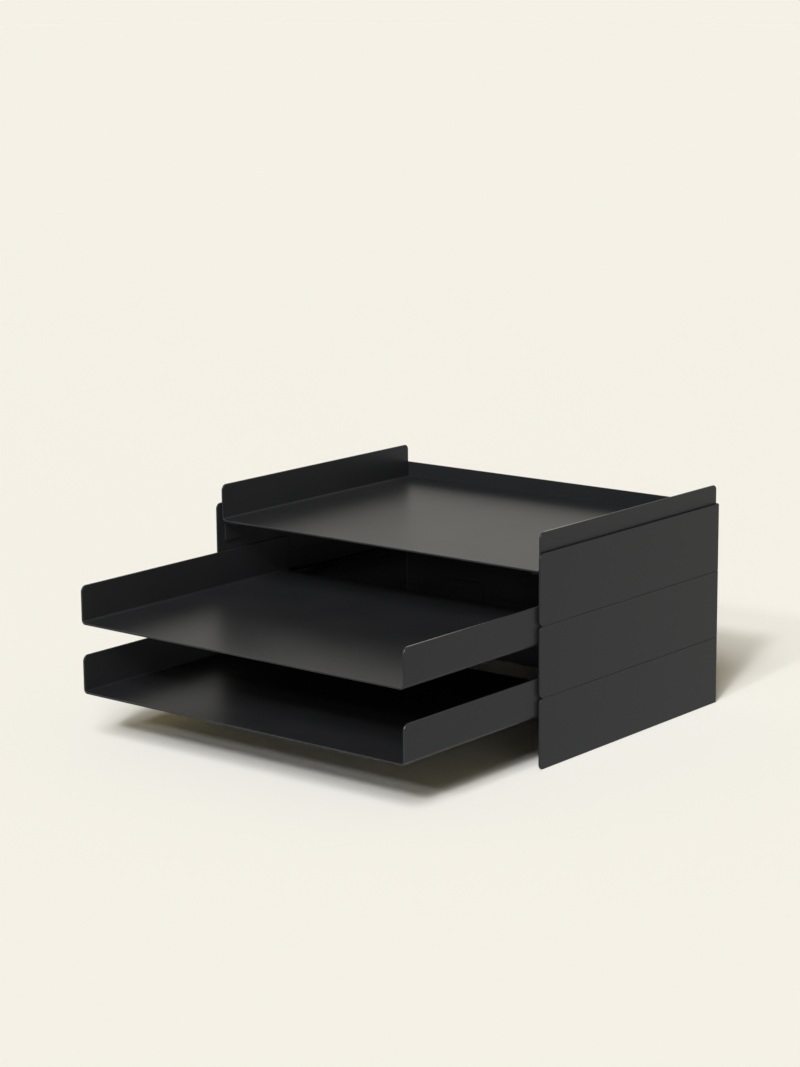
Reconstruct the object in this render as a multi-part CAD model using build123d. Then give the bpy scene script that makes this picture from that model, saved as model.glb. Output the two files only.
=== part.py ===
from build123d import *
import os

# Desktop storage box of bent steel sheet. Three U-shaped frames stand edge to edge, and each one
# carries a sliding tray on two runners. Lengths are in millimetres. +Z is up, the open front faces
# -Y, and the origin is the middle of the frames' footprint, on the desk.

# Frames
width = 320.0                  # over the outer faces of the two side panels
depth = 240.0                  # from the front edges to the outer face of the back wall
sheet = 1.5                    # thickness of the frames' sheet
frame_bend_radius = 1.5        # inside radius of the two upright bends at the back
frame_corner_radius = 4.5      # free front corners of the side panels

# Trays
tray_sheet = 1.5               # thickness of the trays' sheet
tray_side_gap = 1.2            # side panel to flange
tray_rear_gap = 0.4            # back wall to the closed tray
tray_front_recess = 4.1        # front edges of the frames to the closed tray's front edge
floor_drop = 15.0              # underside of the tray floor below the top edge of its frame
flange_rise = 15.0             # flange above the top edge of the frame
tray_headroom = 24.0           # flange top to the underside of the tray floor above
tray_bend_radius = 2.0         # inside radius of the bends between floor and flanges
flange_front_radius = 5.0      # upper front corners of the flanges
flange_rear_radius = 4.0       # upper rear corners of the flanges
held_length = 81.1             # how much of a fully drawn tray stays behind the front edges

# Runners
runner_sheet = 1.5             # thickness of the runners' sheet
runner_lip = 14.0              # width of the level lip, measured from the side panel
runner_leg = 15.0              # height of the upright leg against the side panel
runner_bend_radius = 1.0       # inside radius of the runners' bends
runner_front_setback = 8.0     # front edges of the frames to the runner
runner_rear_gap = 4.0          # runner to the closed tray's hooks, room to drop the tray in
runner_corner_radius = 3.0     # free corners of the lip
stop_length = 10.0             # length of the stop folded down from the lip
stop_depth = 6.0               # stop below the underside of the lip
stop_gap = 0.3                 # stop to the hook of a fully drawn tray

# Glide strips
glide_width = 6.0
glide_thickness = 0.8
glide_end_inset = 6.0          # ends of the runner to the ends of the strip
glide_corner_radius = 1.5      # corners of the strip, seen from above
running_gap = 0.2              # strip to the tray floor

# Hooks of the trays
hook_width = 20.0              # tab folded down from the floor's rear edge
hook_lip_gap = 0.4             # underside of the lip to the hook's foot
hook_side_gap = 0.6            # inner edge of the lip to the hook's tab
hook_foot_depth = 7.0          # height of the foot under the lip
hook_leg_gap = 3.0             # end of the foot to the runner's leg
hook_corner_radius = 1.5       # corners of tab and foot
relief_width = 1.0             # slit on each side of the tab, where the floor is cut for the bend

# Joiner plates
joiner_width = 40.0
joiner_sheet = 1.5             # thickness of the plates
joiner_side_inset = 43.5       # side panel to the plate
joiner_floor_gap = 2.5         # closed tray's floor to the plate above it
joiner_corner_radius = 3.0

tiers = ["bottom", "middle", "top"]
drawn_tiers = ["bottom", "middle"]     # drawn out to the stop at rest
seams = ["lower", "upper"]

# Places that several pieces share
tier_height = floor_drop + flange_rise + tray_headroom
panel_inside = width / 2 - sheet
front_edge = -depth / 2
back_inside = depth / 2 - sheet
flange_outside = panel_inside - tray_side_gap
flange_inside = flange_outside - tray_sheet
tray_front = front_edge + tray_front_recess
tray_rear = back_inside - tray_rear_gap
hook_front = tray_rear - tray_sheet
hook_root = hook_front - tray_bend_radius - relief_width
draw_length = tray_rear - front_edge - held_length
runner_front = front_edge + runner_front_setback
runner_rear = hook_front - runner_rear_gap
stop_rear = hook_front - draw_length - stop_gap
stop_front = stop_rear - stop_length
lip_edge = panel_inside - runner_lip
leg_inside = panel_inside - runner_sheet
hook_outer = lip_edge - hook_side_gap
hook_inner = hook_outer - hook_width
lip_flat_start = lip_edge + runner_sheet + runner_bend_radius
floor_flat_end = flange_inside - tray_bend_radius
cut_overrun = sheet            # how far a cutting shape reaches past the piece that it shapes


def floor_level(tier):
    """Height of the underside of a tier's tray floor."""
    return (tier + 1) * tier_height - floor_drop


def lip_level(tier):
    """Height of the upper face of a tier's runner lips."""
    return floor_level(tier) - running_gap - glide_thickness


def bent_sheet(corners, bend_radius, thickness, length, plane):
    """Sheet of one thickness bent along a line and extruded from a plane.

    The line is the inner side of the bends, and the thickness lies on its left.
    """
    inner_line = FilletPolyline(*corners, radius=bend_radius)
    outline = Wire(inner_line.edges()).offset_2d(thickness, side=Side.LEFT)
    return extrude(plane * Face(outline), amount=length)


def upright_plane(y):
    """Plane facing the front at a given depth, with its own X to the right and Y upwards."""
    return Plane(origin=(0, y, 0), x_dir=(1, 0, 0), z_dir=(0, -1, 0))


def side_plane(x):
    """Plane facing right at a given X, with its own X to the rear and Y upwards."""
    return Plane(origin=(x, 0, 0), x_dir=(0, 1, 0), z_dir=(1, 0, 0))


def box_between(low, high):
    """Box between two opposite corners."""
    size = [b - a for a, b in zip(low, high)]
    return Pos(*low) * Box(*size, align=(Align.MIN, Align.MIN, Align.MIN))


def left_copy(piece):
    """Mirror image of a right-hand piece."""
    return mirror(piece, about=Plane.YZ)


def make_frame(tier):
    """U-shaped strip: right side, back wall and left side, with rounded free front corners."""
    base = tier * tier_height
    plan = [
        (-panel_inside, front_edge),
        (-panel_inside, back_inside),
        (panel_inside, back_inside),
        (panel_inside, front_edge),
    ]
    strip = bent_sheet(plan, frame_bend_radius, sheet, tier_height, Plane.XY.offset(base))
    side = Rectangle(depth, tier_height)
    side = fillet(side.vertices().group_by(Axis.X)[0], frame_corner_radius)
    middle = base + tier_height / 2
    side_prism = extrude(side_plane(0) * Pos(0, middle) * side, amount=width, both=True)
    return strip & side_prism


def make_tray(tier):
    """Floor with two upright flanges and two hooks folded down at the rear, closed position."""
    underside = floor_level(tier)
    floor_top = underside + tray_sheet
    flange_top = (tier + 1) * tier_height + flange_rise
    section = [
        (flange_inside, flange_top),
        (flange_inside, floor_top),
        (-flange_inside, floor_top),
        (-flange_inside, flange_top),
    ]
    length = tray_rear - tray_front
    channel = bent_sheet(section, tray_bend_radius, tray_sheet, length, upright_plane(tray_rear))

    height = flange_top - underside
    side = Rectangle(length, height)
    top_corners = side.vertices().group_by(Axis.Y)[-1].sort_by(Axis.X)
    side = fillet(top_corners[0], flange_front_radius)
    rear_top = side.vertices().group_by(Axis.X)[-1].sort_by(Axis.Y)[-1]
    side = fillet(rear_top, flange_rear_radius)
    middle = Pos((tray_front + tray_rear) / 2, (underside + flange_top) / 2)
    tray = channel & extrude(side_plane(0) * middle * side, amount=width, both=True)

    hook = make_hook(tier)
    slot = make_hook_slot(tier)
    return tray - slot - left_copy(slot) + hook + left_copy(hook)


def make_hook_slot(tier):
    """Cut in the floor's rear edge that frees the right-hand hook's tab and its bend."""
    underside = floor_level(tier)
    floor_top = underside + tray_sheet
    return box_between(
        (hook_inner - relief_width, hook_root, underside - cut_overrun),
        (hook_outer + relief_width, tray_rear + cut_overrun, floor_top + cut_overrun),
    )


def make_hook(tier):
    """Right-hand hook: the floor's sheet bent down, with a foot that reaches under the lip."""
    underside = floor_level(tier)
    foot_top = lip_level(tier) - runner_sheet - hook_lip_gap
    foot_bottom = foot_top - hook_foot_depth
    fold = [(hook_root, underside), (hook_front, underside), (hook_front, foot_bottom)]
    span = leg_inside - hook_leg_gap - hook_inner
    folded = bent_sheet(fold, tray_bend_radius, tray_sheet, span, side_plane(hook_inner))

    foot_middle = foot_top - hook_foot_depth / 2
    foot = RectangleRounded(span, hook_foot_depth, hook_corner_radius)
    foot = Pos(hook_inner + span / 2, foot_middle) * foot
    tab = Rectangle(hook_width, underside + tray_sheet - foot_middle, align=Align.MIN)
    tab = Pos(hook_inner, foot_middle) * tab
    outline = upright_plane(tray_rear + cut_overrun) * (tab + foot)
    return folded & extrude(outline, amount=tray_rear - hook_root + cut_overrun * 2)


def make_runner(tier):
    """Right-hand runner: angle section with a level lip, and a stop folded down from the lip."""
    lip_top = lip_level(tier)
    lip_under = lip_top - runner_sheet
    leg_bottom = lip_top - runner_leg
    angle = [(lip_edge, lip_under), (leg_inside, lip_under), (leg_inside, leg_bottom)]
    stop_inside = lip_edge + runner_sheet
    stop_section = [(stop_inside, lip_under - stop_depth), (stop_inside, lip_under), *angle[1:]]
    stretches = [
        (runner_front, stop_front, angle),
        (stop_front, stop_rear, stop_section),
        (stop_rear, runner_rear, angle),
    ]
    runner = Part()
    for front, rear, section in stretches:
        plane = upright_plane(rear)
        runner += bent_sheet(section, runner_bend_radius, runner_sheet, rear - front, plane)

    lip = Rectangle(runner_lip, runner_rear - runner_front)
    lip = fillet(lip.vertices().group_by(Axis.X)[0], runner_corner_radius)
    lip_middle = Pos((lip_edge + panel_inside) / 2, (runner_front + runner_rear) / 2, leg_bottom)
    return runner & extrude(lip_middle * lip, amount=runner_leg)


def make_glide_strip(tier):
    """Right-hand strip on the runner's lip, under the flat of the tray floor."""
    length = runner_rear - runner_front - glide_end_inset * 2
    strip = RectangleRounded(glide_width, length, glide_corner_radius)
    middle = Pos((lip_flat_start + floor_flat_end) / 2, (runner_front + runner_rear) / 2)
    return extrude(middle * Pos(0, 0, lip_level(tier)) * strip, amount=glide_thickness)


def make_joiner(seam):
    """Right-hand plate inside the back wall, across the seam between two frames."""
    height = (floor_drop - tray_sheet - joiner_floor_gap) * 2
    plate = RectangleRounded(joiner_width, height, joiner_corner_radius)
    middle_x = panel_inside - joiner_side_inset - joiner_width / 2
    middle = Pos(middle_x, (seam + 1) * tier_height)
    return extrude(upright_plane(back_inside) * middle * plate, amount=joiner_sheet)


pieces = {}
for tier, tier_name in enumerate(tiers):
    pieces[f"{tier_name}_frame"] = make_frame(tier)
    drawn = draw_length if tier_name in drawn_tiers else 0
    pieces[f"{tier_name}_tray"] = Pos(0, -drawn, 0) * make_tray(tier)
    for piece_name, make in (("runner", make_runner), ("glide_strip", make_glide_strip)):
        right_piece = make(tier)
        pieces[f"{tier_name}_right_{piece_name}"] = right_piece
        pieces[f"{tier_name}_left_{piece_name}"] = left_copy(right_piece)
for seam, seam_name in enumerate(seams):
    right_plate = make_joiner(seam)
    pieces[f"{seam_name}_right_joiner"] = right_plate
    pieces[f"{seam_name}_left_joiner"] = left_copy(right_plate)

os.makedirs("parts", exist_ok=True)
for name, piece in pieces.items():
    export_step(piece, f"parts/{name}.step")
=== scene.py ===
"""Desktop storage box of black coated steel sheet: three frames, each with a sliding tray.

Lengths are in metres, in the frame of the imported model: the origin is the middle of the frames'
footprint on the desk, +Z is up and the open front faces -Y.
"""
import functools
import logging
import math
from dataclasses import dataclass
from enum import Enum
from typing import Any, Sequence

import bmesh
import bpy
from bmesh.types import BMEdge, BMesh, BMVert
from mathutils import Color, Matrix, Vector


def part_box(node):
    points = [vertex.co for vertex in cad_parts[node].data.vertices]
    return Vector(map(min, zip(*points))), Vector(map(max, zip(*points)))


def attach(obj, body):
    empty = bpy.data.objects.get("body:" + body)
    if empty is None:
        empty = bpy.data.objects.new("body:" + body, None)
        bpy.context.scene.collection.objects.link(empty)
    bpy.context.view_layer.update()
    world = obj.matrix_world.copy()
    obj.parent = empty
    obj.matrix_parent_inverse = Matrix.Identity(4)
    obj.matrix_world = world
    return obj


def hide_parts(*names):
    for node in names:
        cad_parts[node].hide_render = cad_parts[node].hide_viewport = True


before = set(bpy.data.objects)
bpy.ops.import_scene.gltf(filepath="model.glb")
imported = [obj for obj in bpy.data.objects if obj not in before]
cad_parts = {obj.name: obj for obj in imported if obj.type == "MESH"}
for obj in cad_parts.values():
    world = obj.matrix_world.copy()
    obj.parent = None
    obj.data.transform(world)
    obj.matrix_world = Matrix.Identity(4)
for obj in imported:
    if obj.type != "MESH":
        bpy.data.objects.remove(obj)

log = logging.getLogger("storage_box")

Point = tuple[float, float, float]
Colour = tuple[float, float, float, float]

QUARTER_TURN = math.pi / 2
FULL_DISPLAY = 255             # highest red, green or blue of a display
CARCASS = "carcass"            # body of all pieces that stand still
RIM_ATTRIBUTE = "rim"          # 1 on the cut edges of a sheet, 0 elsewhere
GRIP_ATTRIBUTE = "grip"        # 1 at the front of a piece, where hands take hold, 0 at its rear


class Tier(Enum):
    """Tiers of the box, from the desk up."""

    BOTTOM = "bottom"
    MIDDLE = "middle"
    TOP = "top"


class Hand(Enum):
    """Sides of the box, seen from the front."""

    LEFT = "left"
    RIGHT = "right"


class Seam(Enum):
    """Seams between the stacked frames."""

    LOWER = "lower"
    UPPER = "upper"


def display_colour(red: int, green: int, blue: int) -> Colour:
    """Scene colour of a colour written as it shows on a display.

    Args:
        red: Red from 0 to 255.
        green: Green from 0 to 255.
        blue: Blue from 0 to 255.

    Returns:
        The linear colour with an alpha of 1.
    """
    shown = Color([part / FULL_DISPLAY for part in (red, green, blue)])
    return (*shown.from_srgb_to_scene_linear(), 1.0)


class Graph:
    """A node tree with short calls that add and join its nodes."""

    NOISE_MIDDLE = 0.5             # value that noise swings about
    NOISE_ROUGHNESS = 0.55         # strength of an octave, as a share of the one before it
    # Places of a Mix node's colour sockets, whose names its other sockets share
    MIX_SHARE = 0
    MIX_BASE = 6
    MIX_TOP = 7
    MIX_RESULT = 2

    def __init__(self, tree: bpy.types.NodeTree) -> None:
        """Empties the node tree of a material, a world or a group, and starts from it."""
        self.tree = tree
        tree.nodes.clear()

    def add(self, kind: str, values: dict[str, Any] | None = None, **settings: Any) -> bpy.types.Node:
        """Adds a node.

        Args:
            kind: Blender's name of the node's type.
            values: Values of the node's inputs, by socket name.
            **settings: Properties of the node itself.

        Returns:
            The new node.
        """
        node = self.tree.nodes.new(kind)
        for name, value in settings.items():
            setattr(node, name, value)
        for name, value in (values or {}).items():
            node.inputs[name].default_value = value
        return node

    def feed(self, source: Any, target: bpy.types.NodeSocket) -> None:
        """Feeds an input.

        Args:
            source: Output of another node, or a plain value.
            target: Input to feed.
        """
        if isinstance(source, bpy.types.NodeSocket):
            self.tree.links.new(source, target)
        else:
            target.default_value = source

    def combine(self, operation: str, *terms: Any) -> bpy.types.NodeSocket:
        """Adds a Math node.

        Args:
            operation: The node's operation.
            *terms: Sockets or plain numbers, in the order of the node's inputs.

        Returns:
            The node's output.
        """
        node = self.add("ShaderNodeMath", operation=operation)
        for term, target in zip(terms, node.inputs):
            self.feed(term, target)
        return node.outputs["Value"]

    def noise(self, place: bpy.types.NodeSocket, scale: Any, detail: float) -> bpy.types.NodeSocket:
        """Adds a Noise texture.

        Args:
            place: Coordinates that the noise follows.
            scale: Waves in a metre, as a number or a socket.
            detail: Octaves of finer noise.

        Returns:
            The noise, which swings about its middle value.
        """
        node = self.add(
            "ShaderNodeTexNoise", {"Detail": detail, "Roughness": self.NOISE_ROUGHNESS}
        )
        self.feed(place, node.inputs["Vector"])
        self.feed(scale, node.inputs["Scale"])
        return node.outputs["Fac"]

    def spread(self, value: bpy.types.NodeSocket, low: float, high: float) -> bpy.types.NodeSocket:
        """Maps a stretch of a value smoothly to the range from 0 to 1.

        Args:
            value: Value to map.
            low: Value that gives 0.
            high: Value that gives 1.

        Returns:
            The mapped value.
        """
        node = self.add(
            "ShaderNodeMapRange", {"From Min": low, "From Max": high}, interpolation_type="SMOOTHSTEP"
        )
        self.feed(value, node.inputs["Value"])
        return node.outputs["Result"]

    def blend(self, base: Any, top: Colour, mask: bpy.types.NodeSocket) -> bpy.types.NodeSocket:
        """Adds a colour over another one where a mask says so.

        Args:
            base: Colour below, as a socket or plain.
            top: Colour above.
            mask: Share of the colour above.

        Returns:
            The blended colour.
        """
        node = self.add("ShaderNodeMix", data_type="RGBA")
        self.feed(mask, node.inputs[self.MIX_SHARE])
        self.feed(base, node.inputs[self.MIX_BASE])
        self.feed(top, node.inputs[self.MIX_TOP])
        return node.outputs[self.MIX_RESULT]

    def emboss(self, height: bpy.types.NodeSocket, depth: float, surface: bpy.types.Node) -> None:
        """Raises a pattern of heights on a surface.

        Args:
            height: The pattern.
            depth: Its depth in metres.
            surface: Shader of the surface.
        """
        bump = self.add("ShaderNodeBump", {"Strength": 1.0, "Distance": depth})
        self.feed(height, bump.inputs["Height"])
        self.feed(bump.outputs["Normal"], surface.inputs["Normal"])


PEEL_SCALE_SHARE = 0.35        # waves of the orange peel, as a share of the powder grain's
POWDER_HEIGHT_SHARE = 0.45     # height of the powder grain, as a share of the orange peel's
DRIFT_SCALE = 14.0             # slow drifts of the gloss in a metre
RUB_SCALE = 45.0               # rubbed patches in a metre
RUB_RANGE = (0.35, 0.75)       # noise where a rubbed patch starts and where it is full
DUST_SCALE = 22.0              # patches of dust in a metre
DUST_RANGE = (0.25, 0.8)       # noise where a patch of dust starts and where it is full
DUST_SLOPE = (0.3, 1.0)        # upward part of the normal where dust starts and where it is full


def new_group(
    name: str, inputs: dict[str, str], outputs: dict[str, str]
) -> tuple[Graph, bpy.types.Node, bpy.types.Node]:
    """Makes an empty shader node group with its named sockets.

    Args:
        name: Name of the group.
        inputs: Socket types of the inputs, by name.
        outputs: Socket types of the outputs, by name.

    Returns:
        The group's graph, its input node and its output node.
    """
    tree = bpy.data.node_groups.new(name, "ShaderNodeTree")
    for in_out, sockets in (("INPUT", inputs), ("OUTPUT", outputs)):
        for socket_name, kind in sockets.items():
            tree.interface.new_socket(socket_name, in_out=in_out, socket_type=kind)
    graph = Graph(tree)
    return graph, graph.add("NodeGroupInput"), graph.add("NodeGroupOutput")


@functools.cache
def coat_grain() -> bpy.types.NodeTree:
    """Group: the fine orange peel of a baked coat, and slow drifts of its gloss.

    Returns:
        The node group.
    """
    graph, start, end = new_group(
        "coat_grain",
        {"Place": "NodeSocketVector", "Scale": "NodeSocketFloat"},
        {"Height": "NodeSocketFloat", "Drift": "NodeSocketFloat"},
    )
    place, scale = start.outputs["Place"], start.outputs["Scale"]
    peel = graph.noise(place, graph.combine("MULTIPLY", scale, PEEL_SCALE_SHARE), detail=1.0)
    powder = graph.noise(place, scale, detail=2.0)
    height = graph.combine("MULTIPLY_ADD", powder, POWDER_HEIGHT_SHARE, peel)
    graph.feed(height, end.inputs["Height"])
    drift = graph.noise(place, DRIFT_SCALE, detail=2.0)
    graph.feed(graph.combine("SUBTRACT", drift, graph.NOISE_MIDDLE), end.inputs["Drift"])
    return graph.tree


@functools.cache
def edge_rub() -> bpy.types.NodeTree:
    """Group: places on the cut edges where handling has rubbed the coat.

    Returns:
        The node group.
    """
    graph, start, end = new_group(
        "edge_rub",
        {"Place": "NodeSocketVector", "Rim": "NodeSocketFloat", "Amount": "NodeSocketFloat"},
        {"Mask": "NodeSocketFloat"},
    )
    patches = graph.spread(graph.noise(start.outputs["Place"], RUB_SCALE, detail=3.0), *RUB_RANGE)
    rubbed = graph.combine("MULTIPLY", patches, start.outputs["Rim"])
    graph.feed(graph.combine("MULTIPLY", rubbed, start.outputs["Amount"]), end.inputs["Mask"])
    return graph.tree


@functools.cache
def settled_dust() -> bpy.types.NodeTree:
    """Group: a thin film of dust on faces that look up.

    Returns:
        The node group.
    """
    graph, start, end = new_group(
        "settled_dust",
        {"Place": "NodeSocketVector", "Facing": "NodeSocketVector", "Amount": "NodeSocketFloat"},
        {"Mask": "NodeSocketFloat"},
    )
    parts = graph.add("ShaderNodeSeparateXYZ")
    graph.feed(start.outputs["Facing"], parts.inputs["Vector"])
    upward = graph.spread(parts.outputs["Z"], *DUST_SLOPE)
    film = graph.spread(graph.noise(start.outputs["Place"], DUST_SCALE, detail=4.0), *DUST_RANGE)
    settled = graph.combine("MULTIPLY", upward, film)
    graph.feed(graph.combine("MULTIPLY", settled, start.outputs["Amount"]), end.inputs["Mask"])
    return graph.tree


DUST_GREY: Colour = display_colour(150, 147, 140)


class Finish:
    """A surface finish that is built once as a material."""

    def material(self) -> bpy.types.Material:
        """Returns the finish as a material."""
        raise NotImplementedError

    @staticmethod
    def start(
        name: str, shader: str, values: dict[str, Any]
    ) -> tuple[bpy.types.Material, Graph, bpy.types.Node]:
        """Makes a node material with one shader.

        Args:
            name: Name of the material.
            shader: Blender's name of the shader's type.
            values: Values of the shader's inputs, by socket name.

        Returns:
            The material, its graph and the shader.
        """
        material = bpy.data.materials.new(name)
        material.use_nodes = True
        graph = Graph(material.node_tree)
        surface = graph.add(shader, values)
        end = graph.add("ShaderNodeOutputMaterial")
        graph.feed(surface.outputs["BSDF"], end.inputs["Surface"])
        return material, graph, surface


@dataclass(frozen=True)
class PowderCoat(Finish):
    """Satin powder coat on steel sheet, baked to a fine orange peel."""

    name: str
    colour: Colour
    roughness: float
    refraction: float = 1.5
    gloss: float = 0.155           # strength of reflections, where 0.5 is a clear lacquer
    gloss_tint: Colour = (0.70, 0.84, 1.0, 1.0)  # cool reflections, which the warm paper evens out
    gloss_drift: float = 0.04      # change of roughness from one side of a drift to the other
    grain_scale: float = 1500.0    # waves of the powder grain in a metre
    grain_height: float = 1.2e-5   # depth of the orange peel
    rub_amount: float = 0.10
    polish: float = 1.0            # how glossy handling has made the cut edges
    polish_roughness: float = 0.12
    polish_grip: tuple[float, float] = (0.5, 0.95)  # nearness to the front, start and full polish
    polish_slope: tuple[float, float] = (0.1, 0.6)  # upward part of the normal, start and full polish
    dust_amount: float = 0.01
    dust_dulling: float = 0.5      # roughness that full dust adds
    rub_colour: Colour = display_colour(74, 75, 77)
    dust_colour: Colour = DUST_GREY

    @functools.cache
    def material(self) -> bpy.types.Material:
        """Builds the coat.

        Returns:
            The material.
        """
        values = {
            "IOR": self.refraction,
            "Specular IOR Level": self.gloss,
            "Specular Tint": self.gloss_tint,
            "Coat Roughness": self.polish_roughness,
        }
        material, graph, surface = self.start(self.name, "ShaderNodeBsdfPrincipled", values)
        place = graph.add("ShaderNodeTexCoord").outputs["Object"]
        facing = graph.add("ShaderNodeNewGeometry").outputs["Normal"]
        rim = graph.add("ShaderNodeAttribute", attribute_name=RIM_ATTRIBUTE).outputs["Fac"]
        grip = graph.add("ShaderNodeAttribute", attribute_name=GRIP_ATTRIBUTE).outputs["Fac"]

        grain = graph.add("ShaderNodeGroup", {"Scale": self.grain_scale}, node_tree=coat_grain())
        rub = graph.add("ShaderNodeGroup", {"Amount": self.rub_amount}, node_tree=edge_rub())
        dust = graph.add("ShaderNodeGroup", {"Amount": self.dust_amount}, node_tree=settled_dust())
        for group in (grain, rub, dust):
            graph.feed(place, group.inputs["Place"])
        graph.feed(rim, rub.inputs["Rim"])
        graph.feed(facing, dust.inputs["Facing"])

        parts = graph.add("ShaderNodeSeparateXYZ")
        graph.feed(facing, parts.inputs["Vector"])
        handled = graph.combine("MULTIPLY", rim, graph.spread(grip, *self.polish_grip))
        upward = graph.spread(parts.outputs["Z"], *self.polish_slope)
        handled = graph.combine("MULTIPLY", handled, upward)
        graph.feed(graph.combine("MULTIPLY", handled, self.polish), surface.inputs["Coat Weight"])

        worn = graph.blend(self.colour, self.rub_colour, rub.outputs["Mask"])
        dusty = graph.blend(worn, self.dust_colour, dust.outputs["Mask"])
        graph.feed(dusty, surface.inputs["Base Color"])

        drift = graph.combine("MULTIPLY_ADD", grain.outputs["Drift"], self.gloss_drift, self.roughness)
        dulled = graph.combine("MULTIPLY_ADD", dust.outputs["Mask"], self.dust_dulling, drift)
        graph.feed(dulled, surface.inputs["Roughness"])
        graph.emboss(grain.outputs["Height"], self.grain_height, surface)
        return material


@dataclass(frozen=True)
class GlidePlastic(Finish):
    """Dark moulded plastic, polished in lines along the way that the tray slides."""

    name: str
    colour: Colour
    polished_colour: Colour
    roughness: float
    refraction: float = 1.49
    polish: float = 0.18           # how much smoother the polished lines are
    line_scale: float = 900.0      # polished lines in a metre across the strip
    line_stretch: float = 0.01     # the same along the strip, as a share
    line_range: tuple[float, float] = (0.4, 0.65)  # noise where a line starts and where it is full
    grain_scale: float = 2600.0
    grain_height: float = 8.0e-6
    dust_amount: float = 0.05
    dust_colour: Colour = DUST_GREY

    @functools.cache
    def material(self) -> bpy.types.Material:
        """Builds the plastic.

        Returns:
            The material.
        """
        values = {"IOR": self.refraction}
        material, graph, surface = self.start(self.name, "ShaderNodeBsdfPrincipled", values)
        place = graph.add("ShaderNodeTexCoord").outputs["Object"]
        facing = graph.add("ShaderNodeNewGeometry").outputs["Normal"]

        along = graph.add("ShaderNodeMapping", {"Scale": (1.0, self.line_stretch, 1.0)})
        graph.feed(place, along.inputs["Vector"])
        streaks = graph.noise(along.outputs["Vector"], self.line_scale, detail=2.0)
        lines = graph.spread(streaks, *self.line_range)
        grain = graph.add("ShaderNodeGroup", {"Scale": self.grain_scale}, node_tree=coat_grain())
        dust = graph.add("ShaderNodeGroup", {"Amount": self.dust_amount}, node_tree=settled_dust())
        for group in (grain, dust):
            graph.feed(place, group.inputs["Place"])
        graph.feed(facing, dust.inputs["Facing"])

        lined = graph.blend(self.colour, self.polished_colour, lines)
        dusty = graph.blend(lined, self.dust_colour, dust.outputs["Mask"])
        graph.feed(dusty, surface.inputs["Base Color"])
        polished = graph.combine("MULTIPLY_ADD", lines, -self.polish, self.roughness)
        graph.feed(polished, surface.inputs["Roughness"])
        graph.emboss(grain.outputs["Height"], self.grain_height, surface)
        return material


JET_BLACK: Colour = (0.0134, 0.0136, 0.0142, 1.0)

FRAME_COAT = PowderCoat(
    "frame_coat_finish", JET_BLACK, roughness=0.35, rub_amount=0.04, polish=0.1
)
TRAY_COAT = PowderCoat("tray_coat_finish", JET_BLACK, roughness=0.35)
RUNNER_COAT = PowderCoat(
    "runner_coat_finish", JET_BLACK, roughness=0.48, gloss=0.08, rub_amount=0.02, polish=0.0
)
JOINER_COAT = PowderCoat(
    "joiner_coat_finish", JET_BLACK, roughness=0.38, rub_amount=0.01, polish=0.0
)
GLIDE_PLASTIC = GlidePlastic(
    "glide_plastic_finish",
    colour=display_colour(28, 28, 29),
    polished_colour=display_colour(36, 36, 37),
    roughness=0.52,
)


class CoatedMesh:
    """A mesh in the making whose sharp edges are rounded as a coat rounds them."""

    SHARP_ANGLE = math.radians(50)
    ROUND_STEPS = 3
    ROUND_PROFILE = 0.5            # rounds to an arc of a circle
    SAME_MATERIAL = -1             # rounded faces keep the material beside them
    MERGE_DISTANCE = 1e-6
    LARGE_FACE_WEIGHT = 100        # how far large faces decide how their corners shade

    def __init__(self) -> None:
        """Starts an empty mesh."""
        self.mesh: BMesh = bmesh.new()
        self.rim_layer = self.mesh.faces.layers.float.new(RIM_ATTRIBUTE)

    def soften(self, radius: float) -> None:
        """Rounds every sharp edge and marks the rounded faces as rims.

        Args:
            radius: Radius of the rounded edges.
        """
        sharp = [e for e in self.mesh.edges if e.calc_face_angle(0.0) > self.SHARP_ANGLE]
        rounded = bmesh.ops.bevel(
            self.mesh,
            geom=sharp,
            offset=radius,
            offset_type="OFFSET",
            segments=self.ROUND_STEPS,
            profile=self.ROUND_PROFILE,
            affect="EDGES",
            clamp_overlap=True,
            material=self.SAME_MATERIAL,
        )
        for face in rounded["faces"]:
            face[self.rim_layer] = 1.0

    def mark_grip(self) -> None:
        """Marks how near to the front of the piece each point lies."""
        layer = self.mesh.verts.layers.float.new(GRIP_ATTRIBUTE)
        depths = [point.co.y for point in self.mesh.verts]
        front, rear = min(depths), max(depths)
        for point in self.mesh.verts:
            point[layer] = (rear - point.co.y) / (rear - front)

    def finish(self, name: str, finish: Finish) -> bpy.types.Object:
        """Turns the mesh into an object whose flat faces shade as flat ones.

        Args:
            name: Name of the object.
            finish: Finish of its surface.

        Returns:
            The new object.
        """
        self.mark_grip()
        data = bpy.data.meshes.new(name)
        self.mesh.to_mesh(data)
        self.mesh.free()
        data.shade_smooth()
        data.materials.append(finish.material())
        piece = bpy.data.objects.new(name, data)
        bpy.context.scene.collection.objects.link(piece)
        level = piece.modifiers.new("level_faces", "WEIGHTED_NORMAL")
        level.mode = "FACE_AREA"
        level.weight = self.LARGE_FACE_WEIGHT
        return piece


class SolidCopy(CoatedMesh):
    """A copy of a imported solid, whose edges can then be rounded."""

    FLAT_ANGLE = math.radians(0.5)

    def __init__(self, node: str) -> None:
        """Copies a solid, and joins its loose triangles into whole faces.

        Args:
            node: Name of the solid.
        """
        super().__init__()
        self.mesh.from_mesh(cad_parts[node].data)
        bmesh.ops.remove_doubles(self.mesh, verts=self.mesh.verts[:], dist=self.MERGE_DISTANCE)
        bmesh.ops.dissolve_limit(
            self.mesh, angle_limit=self.FLAT_ANGLE, verts=self.mesh.verts[:], edges=self.mesh.edges[:]
        )
        for face in self.mesh.faces:
            face[self.rim_layer] = 0.0


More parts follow.
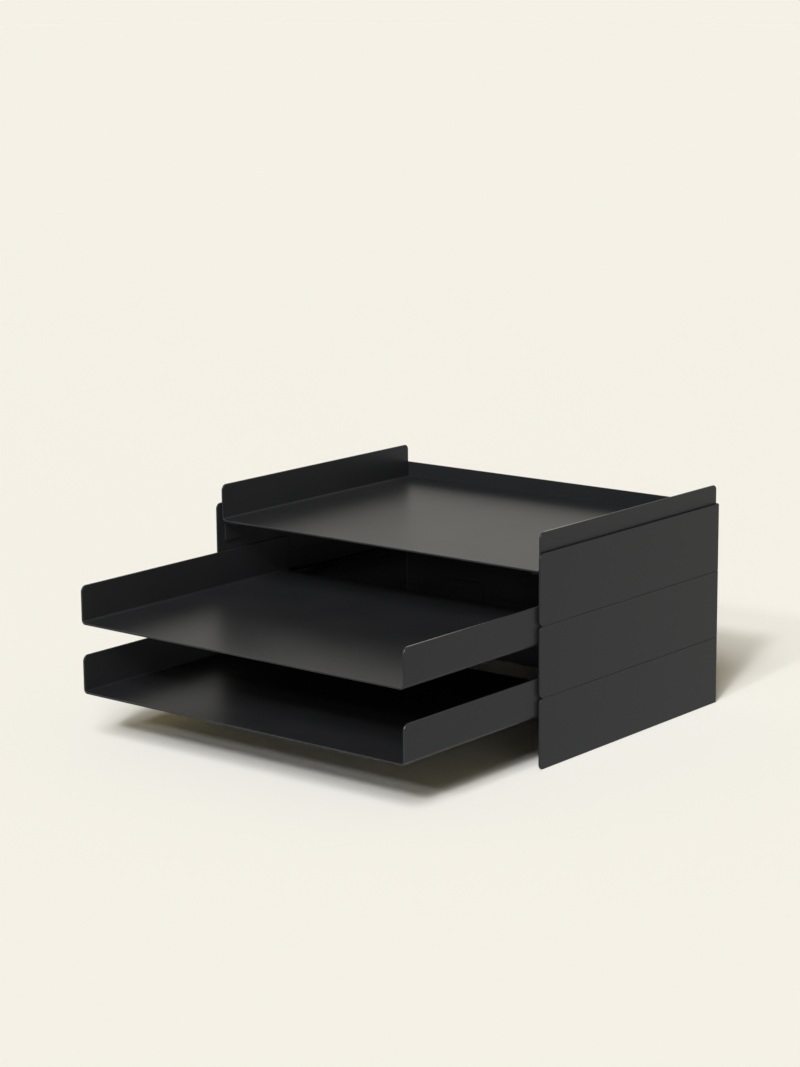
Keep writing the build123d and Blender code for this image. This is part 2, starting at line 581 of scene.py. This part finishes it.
class BentSheet(CoatedMesh):
    """One face of a metal sheet, folded up edge by edge and then given its thickness."""

    BEND_STEPS = 8
    CORNER_STEPS = 10
    REACH = 1e-5                   # how near a place counts as the same

    def draw_line(self, points: Sequence[Point]) -> list[BMEdge]:
        """Draws the line from which the sheet grows, through its corners, and returns its edges."""
        corners = [self.mesh.verts.new(point) for point in points]
        return [self.mesh.edges.new(ends) for ends in zip(corners, corners[1:])]

    def pull(self, edges: list[BMEdge], offset: Point) -> list[BMEdge]:
        """Grows flat sheet from a row of edges.

        Args:
            edges: Edges to grow from.
            offset: How far and which way.

        Returns:
            The edges at the far side.
        """
        grown = bmesh.ops.extrude_edge_only(self.mesh, edges=edges)["geom"]
        corners = [part for part in grown if isinstance(part, BMVert)]
        bmesh.ops.translate(self.mesh, verts=corners, vec=offset)
        far_side = set(corners)
        return [part for part in grown if isinstance(part, BMEdge) and far_side.issuperset(part.verts)]

    def bend(self, edges: list[BMEdge], centre: Point, axis: Point) -> list[BMEdge]:
        """Grows a quarter turn of bent sheet from a row of edges.

        Args:
            edges: Edges to grow from.
            centre: A point on the axis of the bend.
            axis: Direction of that axis, about which the sheet turns anticlockwise.

        Returns:
            The edges at the far side.
        """
        corners = dict.fromkeys(corner for edge in edges for corner in edge.verts)  # each once, in order
        turned = bmesh.ops.spin(
            self.mesh,
            geom=[*edges, *corners],
            cent=centre,
            axis=axis,
            angle=QUARTER_TURN,
            steps=self.BEND_STEPS,
        )
        return [part for part in turned["geom_last"] if isinstance(part, BMEdge)]

    def inside(self, point: Vector, low: Point, high: Point) -> bool:
        """Tells whether a point lies in the box between two corners."""
        return all(a - self.REACH <= p <= b + self.REACH for p, a, b in zip(point, low, high))

    def edges_in(self, low: Point, high: Point) -> list[BMEdge]:
        """Finds the edges that lie whole in the box between two corners."""
        return [e for e in self.mesh.edges if all(self.inside(v.co, low, high) for v in e.verts)]

    def cut_away(self, low: Point, high: Point) -> None:
        """Removes the sheet in the box between two corners."""
        doomed = [f for f in self.mesh.faces if self.inside(f.calc_center_median(), low, high)]
        bmesh.ops.delete(self.mesh, geom=doomed, context="FACES")

    def round_corner(self, place: Point, radius: float) -> None:
        """Rounds a free corner of the sheet.

        Args:
            place: Where the corner is.
            radius: Radius that it gets.
        """
        corner = [v for v in self.mesh.verts if self.inside(v.co, place, place)]
        bmesh.ops.bevel(
            self.mesh,
            geom=corner,
            offset=radius,
            offset_type="OFFSET",
            segments=self.CORNER_STEPS,
            profile=self.ROUND_PROFILE,
            affect="VERTICES",
            clamp_overlap=False,
            material=self.SAME_MATERIAL,
        )

    def join_flats(self, edges: list[BMEdge]) -> None:
        """Joins the flat faces on both sides of some edges."""
        bmesh.ops.dissolve_edges(self.mesh, edges=edges, use_verts=True)

    def turn_left(self) -> None:
        """Turns a right-hand sheet into its left-hand image."""
        bmesh.ops.scale(self.mesh, verts=self.mesh.verts[:], vec=(-1.0, 1.0, 1.0))
        bmesh.ops.reverse_faces(self.mesh, faces=self.mesh.faces[:])

    def add_left_half(self) -> None:
        """Mirrors the right half to the left and joins the two in the middle."""
        everything = [*self.mesh.verts, *self.mesh.edges, *self.mesh.faces]
        bmesh.ops.mirror(
            self.mesh,
            geom=everything,
            matrix=Matrix.Identity(4),
            merge_dist=self.MERGE_DISTANCE,
            axis="X",
        )
        bmesh.ops.remove_doubles(self.mesh, verts=self.mesh.verts[:], dist=self.MERGE_DISTANCE)

    def thicken(self, thickness: float, place: Point, facing: Point) -> None:
        """Gives the sheet its thickness, behind the drawn face.

        Args:
            thickness: Thickness of the sheet.
            place: A point on the drawn face.
            facing: The way that the drawn face looks there.
        """
        bmesh.ops.recalc_face_normals(self.mesh, faces=self.mesh.faces[:])
        nearest = min(self.mesh.faces, key=lambda f: (f.calc_center_median() - Vector(place)).length)
        if nearest.normal.dot(Vector(facing)) < 0:
            bmesh.ops.reverse_faces(self.mesh, faces=self.mesh.faces[:])
        drawn = self.mesh.faces[:]
        backs = bmesh.ops.solidify(self.mesh, geom=drawn, thickness=thickness)["geom"]
        skin = {*drawn, *backs}
        for face in self.mesh.faces:
            face[self.rim_layer] = 0.0 if face in skin else 1.0
        if self.mesh.calc_volume(signed=True) < 0:
            bmesh.ops.reverse_faces(self.mesh, faces=self.mesh.faces[:])


def put_in_place(piece: bpy.types.Object, node: str, body: str) -> None:
    """Puts a dressed piece in place of its solid.

    Args:
        piece: The piece.
        node: Name of the solid that it replaces.
        body: Name of the body that it moves with.
    """
    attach(piece, body)
    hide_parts(node)


@dataclass
class FrameShell:
    """U-shaped strip of one tier: right side, back wall and left side."""

    tier: Tier
    finish: Finish
    sheet: float = 0.0015
    bend_radius: float = 0.0015    # inside radius of the two bends at the back
    corner_radius: float = 0.0045  # free front corners of the side panels
    edge_radius: float = 0.0006    # cut edges under the coat, which leave a groove at the seams

    def build(self) -> bpy.types.Object:
        """Folds the strip and puts it in place of its solid.

        Returns:
            The dressed frame.
        """
        node = f"{self.tier.value}_frame"
        low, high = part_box(node)
        inner_x = high.x - self.sheet
        inner_y = high.y - self.sheet
        bend_y = inner_y - self.bend_radius
        sheet = BentSheet()
        front = sheet.draw_line([(inner_x, low.y, low.z), (inner_x, low.y, high.z)])
        panel_end = sheet.pull(front, (0.0, bend_y - low.y, 0.0))
        wall_start = sheet.bend(panel_end, (inner_x - self.bend_radius, bend_y, 0.0), (0.0, 0.0, 1.0))
        sheet.pull(wall_start, (self.bend_radius - inner_x, 0.0, 0.0))
        for level in (low.z, high.z):
            sheet.round_corner((inner_x, low.y, level), self.corner_radius)
        sheet.add_left_half()
        middle = (low.z + high.z) / 2
        sheet.thicken(self.sheet, (inner_x, 0.0, middle), (-1.0, 0.0, 0.0))
        sheet.soften(self.edge_radius)
        piece = sheet.finish(f"{node}_shell", self.finish)
        put_in_place(piece, node, CARCASS)
        return piece


@dataclass
class SlidingTray:
    """Floor with two flanges, and two hooks folded down at the rear."""

    tier: Tier
    finish: Finish
    sheet: float = 0.0015
    height: float = 0.030          # underside of the floor to the top of the flanges
    bend_radius: float = 0.002     # inside radius of all bends
    front_radius: float = 0.005    # upper front corners of the flanges
    rear_radius: float = 0.004     # upper rear corners of the flanges
    edge_radius: float = 0.0004    # cut edges under the coat
    hook_inner: float = 0.1239     # inner edge of a hook's tab, from the middle
    hook_width: float = 0.020
    relief: float = 0.001          # slit on each side of a tab
    foot_end: float = 0.154        # outer end of a hook's foot, from the middle
    foot_depth: float = 0.007
    hook_radius: float = 0.0015    # corners of a hook's foot

    def build(self) -> bpy.types.Object:
        """Folds the tray and puts it in place of its solid.

        Returns:
            The dressed tray.
        """
        node = f"{self.tier.value}_tray"
        low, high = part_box(node)
        floor = high.z - self.height + self.sheet
        sheet = BentSheet()
        self.fold_floor_and_flange(sheet, low, high, floor)
        self.fold_hook(sheet, low, high, floor)
        sheet.add_left_half()
        middle = (low.y + high.y) / 2
        sheet.thicken(self.sheet, (0.0, middle, floor), (0.0, 0.0, 1.0))
        sheet.soften(self.edge_radius)
        piece = sheet.finish(f"{node}_pan", self.finish)
        put_in_place(piece, node, node)
        return piece

    def fold_floor_and_flange(self, sheet: BentSheet, low: Vector, high: Vector, floor: float) -> None:
        """Grows the right half of the floor from the middle, and bends up its flange.

        Args:
            sheet: Sheet in the making.
            low: Lowest corner of the tray's solid.
            high: Highest corner of the tray's solid.
            floor: Height of the floor's upper face.
        """
        inner_x = high.x - self.sheet
        flat_end = inner_x - self.bend_radius
        hook_outer = self.hook_inner + self.hook_width
        root = self.hook_root(high.y)
        columns = [
            self.hook_inner - self.relief,
            self.hook_inner,
            hook_outer,
            hook_outer + self.relief,
            flat_end,
        ]
        edges = sheet.draw_line([(0.0, low.y, floor), (0.0, root, floor), (0.0, high.y, floor)])
        reached = 0.0
        for column in columns:
            edges = sheet.pull(edges, (column - reached, 0.0, 0.0))
            reached = column
        bend_level = floor + self.bend_radius
        edges = sheet.bend(edges, (flat_end, 0.0, bend_level), (0.0, -1.0, 0.0))
        sheet.pull(edges, (0.0, 0.0, high.z - bend_level))
        sheet.round_corner((inner_x, low.y, high.z), self.front_radius)
        sheet.round_corner((inner_x, high.y, high.z), self.rear_radius)

    def fold_hook(self, sheet: BentSheet, low: Vector, high: Vector, floor: float) -> None:
        """Frees the right-hand tab from the floor, bends it down and adds its foot.

        Args:
            sheet: Sheet in the making.
            low: Lowest corner of the tray's solid.
            high: Highest corner of the tray's solid.
            floor: Height of the floor's upper face.
        """
        root = self.hook_root(high.y)
        hook_outer = self.hook_inner + self.hook_width
        slot_low = (self.hook_inner - self.relief, root, floor)
        slot_high = (hook_outer + self.relief, high.y, floor)
        sheet.cut_away(slot_low, slot_high)

        outer_radius = self.bend_radius + self.sheet
        bend_y = high.y - outer_radius
        bend_level = floor - outer_radius
        tab = sheet.edges_in((self.hook_inner, root, floor), (hook_outer, root, floor))
        tab = sheet.pull(tab, (0.0, bend_y - root, 0.0))
        tab = sheet.bend(tab, (0.0, bend_y, bend_level), (-1.0, 0.0, 0.0))
        foot_top = low.z + self.foot_depth
        tab = sheet.pull(tab, (0.0, 0.0, foot_top - bend_level))
        sheet.pull(tab, (0.0, 0.0, -self.foot_depth))
        side = sheet.edges_in((hook_outer, high.y, low.z), (hook_outer, high.y, foot_top))
        sheet.pull(side, (self.foot_end - hook_outer, 0.0, 0.0))
        for corner_x, corner_z in (
            (self.hook_inner, low.z),
            (self.foot_end, low.z),
            (self.foot_end, foot_top),
        ):
            sheet.round_corner((corner_x, high.y, corner_z), self.hook_radius)

    def hook_root(self, rear: float) -> float:
        """Finds the Y where the slits beside a hook's tab end, from that of the tray's rear edge."""
        return rear - self.sheet - self.bend_radius - self.relief


@dataclass
class RunnerAngle:
    """Angle with a level lip, a leg against the side panel and a stop folded down from the lip."""

    tier: Tier
    hand: Hand
    finish: Finish
    sheet: float = 0.0015
    bend_radius: float = 0.001     # inside radius of all bends
    corner_radius: float = 0.003   # free corners of the lip
    edge_radius: float = 0.0003    # cut edges under the coat
    stop_rear: float = -0.0407     # where a drawn tray's hook meets the stop
    stop_length: float = 0.010
    stop_depth: float = 0.006      # stop below the underside of the lip
    relief: float = 0.0005         # slit on each side of the stop

    def build(self) -> bpy.types.Object:
        """Folds the angle and puts it in place of its solid.

        Returns:
            The dressed runner.
        """
        node = f"{self.tier.value}_{self.hand.value}_runner"
        low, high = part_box(node)
        lip_edge, panel = sorted((abs(low.x), abs(high.x)))
        under = high.z - self.sheet
        fold = lip_edge + self.sheet + self.bend_radius
        sheet = BentSheet()
        self.fold_lip_and_leg(sheet, low, high, fold, panel - self.sheet)
        self.fold_stop(sheet, low.y, high.y, fold, under)
        for end in (low.y, high.y):
            sheet.round_corner((lip_edge, end, under), self.corner_radius)
        sheet.thicken(self.sheet, ((fold + panel) / 2, low.y, under), (0.0, 0.0, -1.0))
        sheet.soften(self.edge_radius)
        if self.hand is Hand.LEFT:
            sheet.turn_left()
        piece = sheet.finish(f"{node}_angle", self.finish)
        put_in_place(piece, node, CARCASS)
        return piece

    def fold_lip_and_leg(
        self, sheet: BentSheet, low: Vector, high: Vector, fold: float, leg: float
    ) -> None:
        """Grows the lip from the line where the stop folds off, and bends down the leg.

        Args:
            sheet: Sheet in the making, right-hand.
            low: Lowest corner of the runner's solid.
            high: Highest corner of the runner's solid.
            fold: X of the line where the stop folds off.
            leg: X of the leg's inner face.
        """
        under = high.z - self.sheet
        stop_front = self.stop_rear - self.stop_length
        rows = [
            low.y,
            stop_front - self.relief,
            stop_front,
            self.stop_rear,
            self.stop_rear + self.relief,
            high.y,
        ]
        lip = sheet.draw_line([(fold, row, under) for row in rows])
        lip = sheet.pull(lip, (leg - self.bend_radius - fold, 0.0, 0.0))
        bend_level = under - self.bend_radius
        leg_start = sheet.bend(lip, (leg - self.bend_radius, 0.0, bend_level), (0.0, 1.0, 0.0))
        sheet.pull(leg_start, (0.0, 0.0, low.z - bend_level))

    def fold_stop(self, sheet: BentSheet, front: float, rear: float, fold: float, under: float) -> None:
        """Widens the lip in front of the stop and behind it, and folds the stop down.

        Args:
            sheet: Sheet in the making, right-hand.
            front: Y of the runner's front end.
            rear: Y of the runner's rear end.
            fold: X of the line where the stop folds off.
            under: Height of the lip's underside.
        """
        stop_front = self.stop_rear - self.stop_length
        for start, end in ((front, stop_front - self.relief), (self.stop_rear + self.relief, rear)):
            inner_line = sheet.edges_in((fold, start, under), (fold, end, under))
            sheet.pull(inner_line, (-self.sheet - self.bend_radius, 0.0, 0.0))
            sheet.join_flats(inner_line)
        tab = sheet.edges_in((fold, stop_front, under), (fold, self.stop_rear, under))
        tab = sheet.bend(tab, (fold, 0.0, under - self.bend_radius), (0.0, -1.0, 0.0))
        sheet.pull(tab, (0.0, 0.0, self.bend_radius - self.stop_depth))


@dataclass
class SoftenedPart:
    """A glide strip or joiner plate: its own solid with rounded edges."""

    node: str                      # name of the solid
    suffix: str                    # last word of the dressed part's name
    slot: str                      # name of a material slot, not given to the part here
    finish: Finish
    edge_radius: float = 0.0003

    def build(self) -> bpy.types.Object:
        """Rounds the edges of a copy and puts it in place of the solid.

        Returns:
            The dressed part.
        """
        copy = SolidCopy(self.node)
        copy.soften(self.edge_radius)
        piece = copy.finish(f"{self.node}_{self.suffix}", self.finish)
        put_in_place(piece, self.node, CARCASS)
        return piece


@dataclass(frozen=True)
class SoftLight:
    """A large soft lamp, so far away that it lights everything from one direction."""

    name: str
    tilt: float                    # from straight above, towards the front
    turn: float                    # from the front, towards the right
    spread: float                  # how wide it looks from the box
    highlights: bool = True        # whether it shows in glossy surfaces

    def hang(self, strength: Sequence[float]) -> None:
        """Hangs the lamp.

        Args:
            strength: Red, green and blue that a white card facing the lamp shows.
        """
        brightest = max(strength)
        data = bpy.data.lights.new(self.name, "SUN")
        data.color = [part / brightest for part in strength]
        data.energy = math.pi * brightest
        data.angle = self.spread
        lamp = bpy.data.objects.new(self.name, data)
        lamp.visible_glossy = self.highlights
        bpy.context.scene.collection.objects.link(lamp)
        level = math.sin(self.tilt)
        towards = (level * math.sin(self.turn), -level * math.cos(self.turn), math.cos(self.tilt))
        lamp.rotation_mode = "QUATERNION"
        lamp.rotation_quaternion = Vector(towards).to_track_quat("Z", "Y")

    def on_floor(self) -> float:
        """Returns the share of the lamp's light that level ground takes."""
        return math.cos(self.tilt)


@dataclass
class Studio:
    """Pale floor and backdrop, key lamps one above the other, weak fills and the camera."""

    paper: Colour = display_colour(245, 241, 230)
    ceiling: Colour = display_colour(150, 147, 140)
    sweep_range: tuple[float, float] = (0.40, 0.70)  # sines of the heights where paper turns to ceiling
    room_fill: Point = (0.16, 0.137, 0.07)  # light from all round, as a share of full white
    front_fill: float = 0.49  # light from a row of low lamps, as a share of full white
    keys: tuple[SoftLight, ...] = (
        SoftLight("high_key", math.radians(44), math.radians(24), math.radians(26)),
        SoftLight("middle_key", math.radians(54), math.radians(20), math.radians(6)),
        SoftLight("low_key", math.radians(61), math.radians(6), math.radians(4)),
    )
    key_shares: tuple[float, ...] = (0.62, 0.28, 0.10)  # of the key light on the floor
    front_tilt: float = math.radians(88)
    front_turns: tuple[int, ...] = (26, 39, 52, 65, 78)  # degrees, one lamp each
    front_spread: float = math.radians(4)
    floor_half: float = 30.0
    camera_place: Point = (1.26336, -1.62414, 0.56522)
    camera_yaw: float = math.radians(39.3619)
    camera_pitch: float = math.radians(11.7302)
    camera_roll: float = math.radians(-0.4861)
    camera_lens: float = 89.258            # millimetres, for a sensor of 36 on the long side
    camera_sensor: float = 36.0
    camera_reach: float = 120.0            # how far the camera sees

    def build(self) -> None:
        """Builds all of it."""
        self.lay_floor()
        self.light_world()
        self.hang_lights()
        self.place_camera()

    def lay_floor(self) -> None:
        """Lays the floor, which takes the object's shadow."""
        material, _, _ = Finish.start("paper_floor", "ShaderNodeBsdfDiffuse", {"Color": self.paper})
        plane = bmesh.new()
        bmesh.ops.create_grid(plane, x_segments=1, y_segments=1, size=self.floor_half)
        data = bpy.data.meshes.new("floor")
        plane.to_mesh(data)
        plane.free()
        data.materials.append(material)
        floor = bpy.data.objects.new("floor", data)
        bpy.context.scene.collection.objects.link(floor)

    def light_world(self) -> None:
        """Shows the backdrop to the camera and in reflections, and fills the shadows."""
        world = bpy.data.worlds.new("studio")
        bpy.context.scene.world = world
        world.use_nodes = True
        graph = Graph(world.node_tree)
        path = graph.add("ShaderNodeLightPath")
        seen = graph.combine("MAXIMUM", path.outputs["Is Camera Ray"], path.outputs["Is Glossy Ray"])
        seen = graph.combine("MAXIMUM", seen, path.outputs["Is Transmission Ray"])
        fill = graph.add("ShaderNodeBackground", {"Color": (*self.room_fill, 1.0), "Strength": 1.0})
        backdrop = graph.add("ShaderNodeBackground", {"Strength": 1.0})
        way = graph.add("ShaderNodeSeparateXYZ")
        graph.feed(graph.add("ShaderNodeTexCoord").outputs["Generated"], way.inputs["Vector"])
        height = graph.spread(way.outputs["Z"], *self.sweep_range)
        graph.feed(graph.blend(self.paper, self.ceiling, height), backdrop.inputs["Color"])
        either = graph.add("ShaderNodeMixShader")
        sources = (seen, fill.outputs["Background"], backdrop.outputs["Background"])
        for source, target in zip(sources, either.inputs):
            graph.feed(source, target)
        end = graph.add("ShaderNodeOutputWorld")
        graph.feed(either.outputs["Shader"], end.inputs["Surface"])

    def hang_lights(self) -> None:
        """Hangs the lamps. The keys add on the floor what the fills leave to full white."""
        share = self.front_fill / len(self.front_turns)
        from_front = 0.0
        for turn in self.front_turns:
            lamp = SoftLight(
                f"front_{turn}", self.front_tilt, math.radians(turn), self.front_spread, highlights=False
            )
            lamp.hang((share, share, share))
            from_front += share * lamp.on_floor()
        left_over = [1.0 - from_front - room for room in self.room_fill]
        for lamp, share in zip(self.keys, self.key_shares):
            lamp.hang([part * share / lamp.on_floor() for part in left_over])

    def place_camera(self) -> None:
        """Places the camera at the photograph's point of view."""
        data = bpy.data.cameras.new("camera")
        data.sensor_width = self.camera_sensor
        data.lens = self.camera_lens
        data.clip_end = self.camera_reach
        camera = bpy.data.objects.new("camera", data)
        bpy.context.scene.collection.objects.link(camera)
        yaw = Matrix.Rotation(self.camera_yaw, 4, "Z")
        tilt = Matrix.Rotation(QUARTER_TURN - self.camera_pitch, 4, "X")
        roll = Matrix.Rotation(self.camera_roll, 4, "Z")
        camera.matrix_world = Matrix.Translation(self.camera_place) @ yaw @ tilt @ roll
        bpy.context.scene.camera = camera


BoxPart = FrameShell | SlidingTray | RunnerAngle | SoftenedPart


def list_parts() -> list[BoxPart]:
    """Lists every part of the box.

    Returns:
        The parts, from the desk up.
    """
    parts: list[BoxPart] = []
    for tier in Tier:
        parts.append(FrameShell(tier, FRAME_COAT))
        parts.append(SlidingTray(tier, TRAY_COAT))
        for hand in Hand:
            parts.append(RunnerAngle(tier, hand, RUNNER_COAT))
            node = f"{tier.value}_{hand.value}_glide_strip"
            strip = SoftenedPart(node, "moulding", "glide_plastic", GLIDE_PLASTIC, edge_radius=0.0002)
            parts.append(strip)
    for seam in Seam:
        for hand in Hand:
            node = f"{seam.value}_{hand.value}_joiner"
            parts.append(SoftenedPart(node, "plate", "joiner_coat", JOINER_COAT))
    return parts


def main() -> None:
    """Builds the box and its studio."""
    logging.basicConfig(level=logging.INFO, format="%(name)s: %(message)s")
    bpy.context.scene.view_settings.view_transform = "Standard"
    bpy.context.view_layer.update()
    for part in list_parts():
        piece = part.build()
        log.info("%s: %d faces", piece.name, len(piece.data.polygons))
    Studio().build()


if __name__ == "__main__":
    main()
